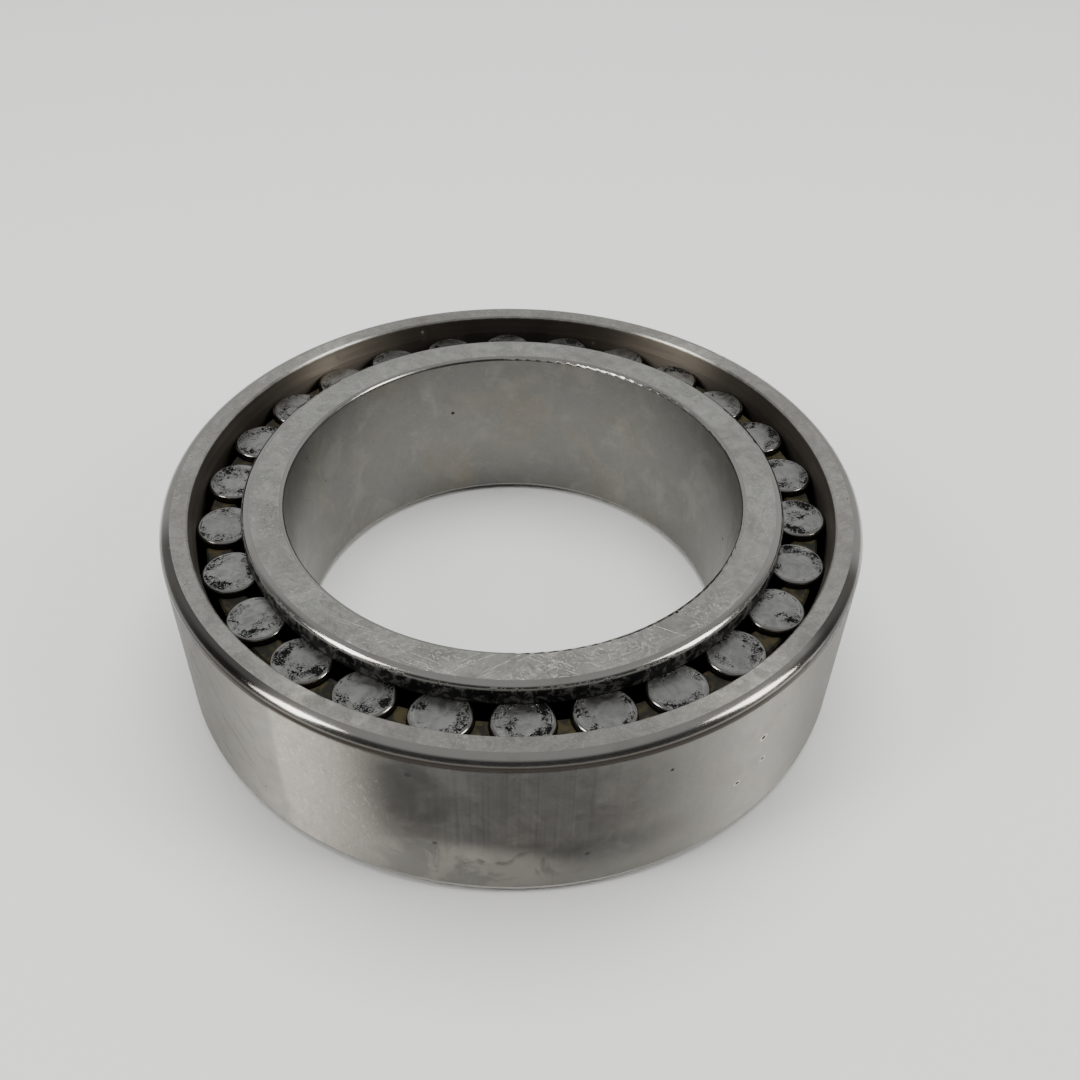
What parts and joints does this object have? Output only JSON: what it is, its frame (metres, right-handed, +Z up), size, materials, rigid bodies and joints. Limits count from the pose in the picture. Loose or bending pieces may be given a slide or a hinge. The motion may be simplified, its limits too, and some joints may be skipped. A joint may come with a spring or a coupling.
{
  "type": "double-row cylindrical roller bearing",
  "caption": "Cylindrical roller bearing with a plain outer ring, a ribbed inner ring with a tapered bore, and comb cages that space straight rollers in rows.",
  "frame": {"origin": "on the bearing axis, at the lower face of both rings", "axes": "+Z up along the bearing axis; +X and +Y across it, with the picture taken from the -Y side"},
  "size_m": [0.11, 0.11, 0.03],
  "materials": {
    "ring_steel": "ground satin with worn, smeared faces",
    "roller_steel": "fine ground, light grime near the rims",
    "cage_brass": "machined brass, dark with old grease"
  },
  "bodies": {
    "outer_ring": {"outer_ring": "ring_steel"},
    "inner_ring": {"inner_ring": "ring_steel"},
    "upper_cage": {"upper_cage": "cage_brass"},
    "lower_cage": {"lower_cage": "cage_brass"},
    "roller_upper_01": {"roller_upper_01": "roller_steel"},
    "roller_upper_02": {"roller_upper_02": "roller_steel"},
    "roller_upper_03": {"roller_upper_03": "roller_steel"},
    "roller_upper_04": {"roller_upper_04": "roller_steel"},
    "roller_upper_05": {"roller_upper_05": "roller_steel"},
    "roller_upper_06": {"roller_upper_06": "roller_steel"},
    "roller_upper_07": {"roller_upper_07": "roller_steel"},
    "roller_upper_08": {"roller_upper_08": "roller_steel"},
    "roller_upper_09": {"roller_upper_09": "roller_steel"},
    "roller_upper_10": {"roller_upper_10": "roller_steel"},
    "roller_upper_11": {"roller_upper_11": "roller_steel"},
    "roller_upper_12": {"roller_upper_12": "roller_steel"},
    "roller_upper_13": {"roller_upper_13": "roller_steel"},
    "roller_upper_14": {"roller_upper_14": "roller_steel"},
    "roller_upper_15": {"roller_upper_15": "roller_steel"},
    "roller_upper_16": {"roller_upper_16": "roller_steel"},
    "roller_upper_17": {"roller_upper_17": "roller_steel"},
    "roller_upper_18": {"roller_upper_18": "roller_steel"},
    "roller_upper_19": {"roller_upper_19": "roller_steel"},
    "roller_upper_20": {"roller_upper_20": "roller_steel"},
    "roller_upper_21": {"roller_upper_21": "roller_steel"},
    "roller_upper_22": {"roller_upper_22": "roller_steel"},
    "roller_upper_23": {"roller_upper_23": "roller_steel"},
    "roller_upper_24": {"roller_upper_24": "roller_steel"},
    "roller_upper_25": {"roller_upper_25": "roller_steel"},
    "roller_upper_26": {"roller_upper_26": "roller_steel"},
    "roller_lower_01": {"roller_lower_01": "roller_steel"},
    "roller_lower_02": {"roller_lower_02": "roller_steel"},
    "roller_lower_03": {"roller_lower_03": "roller_steel"},
    "roller_lower_04": {"roller_lower_04": "roller_steel"},
    "roller_lower_05": {"roller_lower_05": "roller_steel"},
    "roller_lower_06": {"roller_lower_06": "roller_steel"},
    "roller_lower_07": {"roller_lower_07": "roller_steel"},
    "roller_lower_08": {"roller_lower_08": "roller_steel"},
    "roller_lower_09": {"roller_lower_09": "roller_steel"},
    "roller_lower_10": {"roller_lower_10": "roller_steel"},
    "roller_lower_11": {"roller_lower_11": "roller_steel"},
    "roller_lower_12": {"roller_lower_12": "roller_steel"},
    "roller_lower_13": {"roller_lower_13": "roller_steel"},
    "roller_lower_14": {"roller_lower_14": "roller_steel"},
    "roller_lower_15": {"roller_lower_15": "roller_steel"},
    "roller_lower_16": {"roller_lower_16": "roller_steel"},
    "roller_lower_17": {"roller_lower_17": "roller_steel"},
    "roller_lower_18": {"roller_lower_18": "roller_steel"},
    "roller_lower_19": {"roller_lower_19": "roller_steel"},
    "roller_lower_20": {"roller_lower_20": "roller_steel"},
    "roller_lower_21": {"roller_lower_21": "roller_steel"},
    "roller_lower_22": {"roller_lower_22": "roller_steel"},
    "roller_lower_23": {"roller_lower_23": "roller_steel"},
    "roller_lower_24": {"roller_lower_24": "roller_steel"},
    "roller_lower_25": {"roller_lower_25": "roller_steel"},
    "roller_lower_26": {"roller_lower_26": "roller_steel"}
  },
  "joints": [
    {"name": "inner_ring_spin", "type": "hinge", "parent": "outer_ring", "child": "inner_ring", "pos_m": [0, 0, 0.015], "axis": [0, 0, 1], "continuous": true},
    {"name": "upper_cage_spin", "type": "hinge", "parent": "outer_ring", "child": "upper_cage", "pos_m": [0, 0, 0.015], "axis": [0, 0, 1], "continuous": true},
    {"name": "lower_cage_spin", "type": "hinge", "parent": "outer_ring", "child": "lower_cage", "pos_m": [0, 0, 0.015], "axis": [0, 0, 1], "continuous": true},
    {"name": "roller_upper_01_spin", "type": "hinge", "parent": "upper_cage", "child": "roller_upper_01", "pos_m": [0.04498, 0.00671, 0.015], "axis": [0, 0, 1], "continuous": true},
    {"name": "roller_upper_02_spin", "type": "hinge", "parent": "upper_cage", "child": "roller_upper_02", "pos_m": [0.04207, 0.01728, 0.015], "axis": [0, 0, 1], "continuous": true},
    {"name": "roller_upper_03_spin", "type": "hinge", "parent": "upper_cage", "child": "roller_upper_03", "pos_m": [0.03671, 0.02684, 0.015], "axis": [0, 0, 1], "continuous": true},
    {"name": "roller_upper_04_spin", "type": "hinge", "parent": "upper_cage", "child": "roller_upper_04", "pos_m": [0.02922, 0.03485, 0.015], "axis": [0, 0, 1], "continuous": true},
    {"name": "roller_upper_05_spin", "type": "hinge", "parent": "upper_cage", "child": "roller_upper_05", "pos_m": [0.02003, 0.04083, 0.015], "axis": [0, 0, 1], "continuous": true},
    {"name": "roller_upper_06_spin", "type": "hinge", "parent": "upper_cage", "child": "roller_upper_06", "pos_m": [0.00968, 0.04444, 0.015], "axis": [0, 0, 1], "continuous": true},
    {"name": "roller_upper_07_spin", "type": "hinge", "parent": "upper_cage", "child": "roller_upper_07", "pos_m": [-0.00124, 0.04546, 0.015], "axis": [0, 0, 1], "continuous": true},
    {"name": "roller_upper_08_spin", "type": "hinge", "parent": "upper_cage", "child": "roller_upper_08", "pos_m": [-0.01208, 0.04385, 0.015], "axis": [0, 0, 1], "continuous": true},
    {"name": "roller_upper_09_spin", "type": "hinge", "parent": "upper_cage", "child": "roller_upper_09", "pos_m": [-0.02222, 0.03968, 0.015], "axis": [0, 0, 1], "continuous": true},
    {"name": "roller_upper_10_spin", "type": "hinge", "parent": "upper_cage", "child": "roller_upper_10", "pos_m": [-0.03107, 0.03321, 0.015], "axis": [0, 0, 1], "continuous": true},
    {"name": "roller_upper_11_spin", "type": "hinge", "parent": "upper_cage", "child": "roller_upper_11", "pos_m": [-0.03812, 0.02481, 0.015], "axis": [0, 0, 1], "continuous": true},
    {"name": "roller_upper_12_spin", "type": "hinge", "parent": "upper_cage", "child": "roller_upper_12", "pos_m": [-0.04295, 0.01497, 0.015], "axis": [0, 0, 1], "continuous": true},
    {"name": "roller_upper_13_spin", "type": "hinge", "parent": "upper_cage", "child": "roller_upper_13", "pos_m": [-0.04528, 0.00425, 0.015], "axis": [0, 0, 1], "continuous": true},
    {"name": "roller_upper_14_spin", "type": "hinge", "parent": "upper_cage", "child": "roller_upper_14", "pos_m": [-0.04498, -0.00671, 0.015], "axis": [0, 0, 1], "continuous": true},
    {"name": "roller_upper_15_spin", "type": "hinge", "parent": "upper_cage", "child": "roller_upper_15", "pos_m": [-0.04207, -0.01728, 0.015], "axis": [0, 0, 1], "continuous": true},
    {"name": "roller_upper_16_spin", "type": "hinge", "parent": "upper_cage", "child": "roller_upper_16", "pos_m": [-0.03671, -0.02684, 0.015], "axis": [0, 0, 1], "continuous": true},
    {"name": "roller_upper_17_spin", "type": "hinge", "parent": "upper_cage", "child": "roller_upper_17", "pos_m": [-0.02922, -0.03485, 0.015], "axis": [0, 0, 1], "continuous": true},
    {"name": "roller_upper_18_spin", "type": "hinge", "parent": "upper_cage", "child": "roller_upper_18", "pos_m": [-0.02003, -0.04083, 0.015], "axis": [0, 0, 1], "continuous": true},
    {"name": "roller_upper_19_spin", "type": "hinge", "parent": "upper_cage", "child": "roller_upper_19", "pos_m": [-0.00968, -0.04444, 0.015], "axis": [0, 0, 1], "continuous": true},
    {"name": "roller_upper_20_spin", "type": "hinge", "parent": "upper_cage", "child": "roller_upper_20", "pos_m": [0.00124, -0.04546, 0.015], "axis": [0, 0, 1], "continuous": true},
    {"name": "roller_upper_21_spin", "type": "hinge", "parent": "upper_cage", "child": "roller_upper_21", "pos_m": [0.01208, -0.04385, 0.015], "axis": [0, 0, 1], "continuous": true},
    {"name": "roller_upper_22_spin", "type": "hinge", "parent": "upper_cage", "child": "roller_upper_22", "pos_m": [0.02222, -0.03968, 0.015], "axis": [0, 0, 1], "continuous": true},
    {"name": "roller_upper_23_spin", "type": "hinge", "parent": "upper_cage", "child": "roller_upper_23", "pos_m": [0.03107, -0.03321, 0.015], "axis": [0, 0, 1], "continuous": true},
    {"name": "roller_upper_24_spin", "type": "hinge", "parent": "upper_cage", "child": "roller_upper_24", "pos_m": [0.03812, -0.02481, 0.015], "axis": [0, 0, 1], "continuous": true},
    {"name": "roller_upper_25_spin", "type": "hinge", "parent": "upper_cage", "child": "roller_upper_25", "pos_m": [0.04295, -0.01497, 0.015], "axis": [0, 0, 1], "continuous": true},
    {"name": "roller_upper_26_spin", "type": "hinge", "parent": "upper_cage", "child": "roller_upper_26", "pos_m": [0.04528, -0.00425, 0.015], "axis": [0, 0, 1], "continuous": true},
    {"name": "roller_lower_01_spin", "type": "hinge", "parent": "lower_cage", "child": "roller_lower_01", "pos_m": [0.04385, 0.01208, 0.015], "axis": [0, 0, 1], "continuous": true},
    {"name": "roller_lower_02_spin", "type": "hinge", "parent": "lower_cage", "child": "roller_lower_02", "pos_m": [0.03968, 0.02222, 0.015], "axis": [0, 0, 1], "continuous": true},
    {"name": "roller_lower_03_spin", "type": "hinge", "parent": "lower_cage", "child": "roller_lower_03", "pos_m": [0.03321, 0.03107, 0.015], "axis": [0, 0, 1], "continuous": true},
    {"name": "roller_lower_04_spin", "type": "hinge", "parent": "lower_cage", "child": "roller_lower_04", "pos_m": [0.02481, 0.03812, 0.015], "axis": [0, 0, 1], "continuous": true},
    {"name": "roller_lower_05_spin", "type": "hinge", "parent": "lower_cage", "child": "roller_lower_05", "pos_m": [0.01497, 0.04295, 0.015], "axis": [0, 0, 1], "continuous": true},
    {"name": "roller_lower_06_spin", "type": "hinge", "parent": "lower_cage", "child": "roller_lower_06", "pos_m": [0.00425, 0.04528, 0.015], "axis": [0, 0, 1], "continuous": true},
    {"name": "roller_lower_07_spin", "type": "hinge", "parent": "lower_cage", "child": "roller_lower_07", "pos_m": [-0.00671, 0.04498, 0.015], "axis": [0, 0, 1], "continuous": true},
    {"name": "roller_lower_08_spin", "type": "hinge", "parent": "lower_cage", "child": "roller_lower_08", "pos_m": [-0.01728, 0.04207, 0.015], "axis": [0, 0, 1], "continuous": true},
    {"name": "roller_lower_09_spin", "type": "hinge", "parent": "lower_cage", "child": "roller_lower_09", "pos_m": [-0.02684, 0.03671, 0.015], "axis": [0, 0, 1], "continuous": true},
    {"name": "roller_lower_10_spin", "type": "hinge", "parent": "lower_cage", "child": "roller_lower_10", "pos_m": [-0.03485, 0.02922, 0.015], "axis": [0, 0, 1], "continuous": true},
    {"name": "roller_lower_11_spin", "type": "hinge", "parent": "lower_cage", "child": "roller_lower_11", "pos_m": [-0.04083, 0.02003, 0.015], "axis": [0, 0, 1], "continuous": true},
    {"name": "roller_lower_12_spin", "type": "hinge", "parent": "lower_cage", "child": "roller_lower_12", "pos_m": [-0.04444, 0.00968, 0.015], "axis": [0, 0, 1], "continuous": true},
    {"name": "roller_lower_13_spin", "type": "hinge", "parent": "lower_cage", "child": "roller_lower_13", "pos_m": [-0.04546, -0.00124, 0.015], "axis": [0, 0, 1], "continuous": true},
    {"name": "roller_lower_14_spin", "type": "hinge", "parent": "lower_cage", "child": "roller_lower_14", "pos_m": [-0.04385, -0.01208, 0.015], "axis": [0, 0, 1], "continuous": true},
    {"name": "roller_lower_15_spin", "type": "hinge", "parent": "lower_cage", "child": "roller_lower_15", "pos_m": [-0.03968, -0.02222, 0.015], "axis": [0, 0, 1], "continuous": true},
    {"name": "roller_lower_16_spin", "type": "hinge", "parent": "lower_cage", "child": "roller_lower_16", "pos_m": [-0.03321, -0.03107, 0.015], "axis": [0, 0, 1], "continuous": true},
    {"name": "roller_lower_17_spin", "type": "hinge", "parent": "lower_cage", "child": "roller_lower_17", "pos_m": [-0.02481, -0.03812, 0.015], "axis": [0, 0, 1], "continuous": true},
    {"name": "roller_lower_18_spin", "type": "hinge", "parent": "lower_cage", "child": "roller_lower_18", "pos_m": [-0.01497, -0.04295, 0.015], "axis": [0, 0, 1], "continuous": true},
    {"name": "roller_lower_19_spin", "type": "hinge", "parent": "lower_cage", "child": "roller_lower_19", "pos_m": [-0.00425, -0.04528, 0.015], "axis": [0, 0, 1], "continuous": true},
    {"name": "roller_lower_20_spin", "type": "hinge", "parent": "lower_cage", "child": "roller_lower_20", "pos_m": [0.00671, -0.04498, 0.015], "axis": [0, 0, 1], "continuous": true},
    {"name": "roller_lower_21_spin", "type": "hinge", "parent": "lower_cage", "child": "roller_lower_21", "pos_m": [0.01728, -0.04207, 0.015], "axis": [0, 0, 1], "continuous": true},
    {"name": "roller_lower_22_spin", "type": "hinge", "parent": "lower_cage", "child": "roller_lower_22", "pos_m": [0.02684, -0.03671, 0.015], "axis": [0, 0, 1], "continuous": true},
    {"name": "roller_lower_23_spin", "type": "hinge", "parent": "lower_cage", "child": "roller_lower_23", "pos_m": [0.03485, -0.02922, 0.015], "axis": [0, 0, 1], "continuous": true},
    {"name": "roller_lower_24_spin", "type": "hinge", "parent": "lower_cage", "child": "roller_lower_24", "pos_m": [0.04083, -0.02003, 0.015], "axis": [0, 0, 1], "continuous": true},
    {"name": "roller_lower_25_spin", "type": "hinge", "parent": "lower_cage", "child": "roller_lower_25", "pos_m": [0.04444, -0.00968, 0.015], "axis": [0, 0, 1], "continuous": true},
    {"name": "roller_lower_26_spin", "type": "hinge", "parent": "lower_cage", "child": "roller_lower_26", "pos_m": [0.04546, 0.00124, 0.015], "axis": [0, 0, 1], "continuous": true}
  ],
  "couplings": [
    {"joint": "upper_cage_spin", "follows": "inner_ring_spin", "ratio": 0.45031},
    {"joint": "lower_cage_spin", "follows": "inner_ring_spin", "ratio": 0.45031},
    {"joint": "roller_upper_01_spin", "follows": "inner_ring_spin", "ratio": -5.0034},
    {"joint": "roller_upper_02_spin", "follows": "inner_ring_spin", "ratio": -5.0034},
    {"joint": "roller_upper_03_spin", "follows": "inner_ring_spin", "ratio": -5.0034},
    {"joint": "roller_upper_04_spin", "follows": "inner_ring_spin", "ratio": -5.0034},
    {"joint": "roller_upper_05_spin", "follows": "inner_ring_spin", "ratio": -5.0034},
    {"joint": "roller_upper_06_spin", "follows": "inner_ring_spin", "ratio": -5.0034},
    {"joint": "roller_upper_07_spin", "follows": "inner_ring_spin", "ratio": -5.0034},
    {"joint": "roller_upper_08_spin", "follows": "inner_ring_spin", "ratio": -5.0034},
    {"joint": "roller_upper_09_spin", "follows": "inner_ring_spin", "ratio": -5.0034},
    {"joint": "roller_upper_10_spin", "follows": "inner_ring_spin", "ratio": -5.0034},
    {"joint": "roller_upper_11_spin", "follows": "inner_ring_spin", "ratio": -5.0034},
    {"joint": "roller_upper_12_spin", "follows": "inner_ring_spin", "ratio": -5.0034},
    {"joint": "roller_upper_13_spin", "follows": "inner_ring_spin", "ratio": -5.0034},
    {"joint": "roller_upper_14_spin", "follows": "inner_ring_spin", "ratio": -5.0034},
    {"joint": "roller_upper_15_spin", "follows": "inner_ring_spin", "ratio": -5.0034},
    {"joint": "roller_upper_16_spin", "follows": "inner_ring_spin", "ratio": -5.0034},
    {"joint": "roller_upper_17_spin", "follows": "inner_ring_spin", "ratio": -5.0034},
    {"joint": "roller_upper_18_spin", "follows": "inner_ring_spin", "ratio": -5.0034},
    {"joint": "roller_upper_19_spin", "follows": "inner_ring_spin", "ratio": -5.0034},
    {"joint": "roller_upper_20_spin", "follows": "inner_ring_spin", "ratio": -5.0034},
    {"joint": "roller_upper_21_spin", "follows": "inner_ring_spin", "ratio": -5.0034},
    {"joint": "roller_upper_22_spin", "follows": "inner_ring_spin", "ratio": -5.0034},
    {"joint": "roller_upper_23_spin", "follows": "inner_ring_spin", "ratio": -5.0034},
    {"joint": "roller_upper_24_spin", "follows": "inner_ring_spin", "ratio": -5.0034},
    {"joint": "roller_upper_25_spin", "follows": "inner_ring_spin", "ratio": -5.0034},
    {"joint": "roller_upper_26_spin", "follows": "inner_ring_spin", "ratio": -5.0034},
    {"joint": "roller_lower_01_spin", "follows": "inner_ring_spin", "ratio": -5.0034},
    {"joint": "roller_lower_02_spin", "follows": "inner_ring_spin", "ratio": -5.0034},
    {"joint": "roller_lower_03_spin", "follows": "inner_ring_spin", "ratio": -5.0034},
    {"joint": "roller_lower_04_spin", "follows": "inner_ring_spin", "ratio": -5.0034},
    {"joint": "roller_lower_05_spin", "follows": "inner_ring_spin", "ratio": -5.0034},
    {"joint": "roller_lower_06_spin", "follows": "inner_ring_spin", "ratio": -5.0034},
    {"joint": "roller_lower_07_spin", "follows": "inner_ring_spin", "ratio": -5.0034},
    {"joint": "roller_lower_08_spin", "follows": "inner_ring_spin", "ratio": -5.0034},
    {"joint": "roller_lower_09_spin", "follows": "inner_ring_spin", "ratio": -5.0034},
    {"joint": "roller_lower_10_spin", "follows": "inner_ring_spin", "ratio": -5.0034},
    {"joint": "roller_lower_11_spin", "follows": "inner_ring_spin", "ratio": -5.0034},
    {"joint": "roller_lower_12_spin", "follows": "inner_ring_spin", "ratio": -5.0034},
    {"joint": "roller_lower_13_spin", "follows": "inner_ring_spin", "ratio": -5.0034},
    {"joint": "roller_lower_14_spin", "follows": "inner_ring_spin", "ratio": -5.0034},
    {"joint": "roller_lower_15_spin", "follows": "inner_ring_spin", "ratio": -5.0034},
    {"joint": "roller_lower_16_spin", "follows": "inner_ring_spin", "ratio": -5.0034},
    {"joint": "roller_lower_17_spin", "follows": "inner_ring_spin", "ratio": -5.0034},
    {"joint": "roller_lower_18_spin", "follows": "inner_ring_spin", "ratio": -5.0034},
    {"joint": "roller_lower_19_spin", "follows": "inner_ring_spin", "ratio": -5.0034},
    {"joint": "roller_lower_20_spin", "follows": "inner_ring_spin", "ratio": -5.0034},
    {"joint": "roller_lower_21_spin", "follows": "inner_ring_spin", "ratio": -5.0034},
    {"joint": "roller_lower_22_spin", "follows": "inner_ring_spin", "ratio": -5.0034},
    {"joint": "roller_lower_23_spin", "follows": "inner_ring_spin", "ratio": -5.0034},
    {"joint": "roller_lower_24_spin", "follows": "inner_ring_spin", "ratio": -5.0034},
    {"joint": "roller_lower_25_spin", "follows": "inner_ring_spin", "ratio": -5.0034},
    {"joint": "roller_lower_26_spin", "follows": "inner_ring_spin", "ratio": -5.0034}
  ]
}
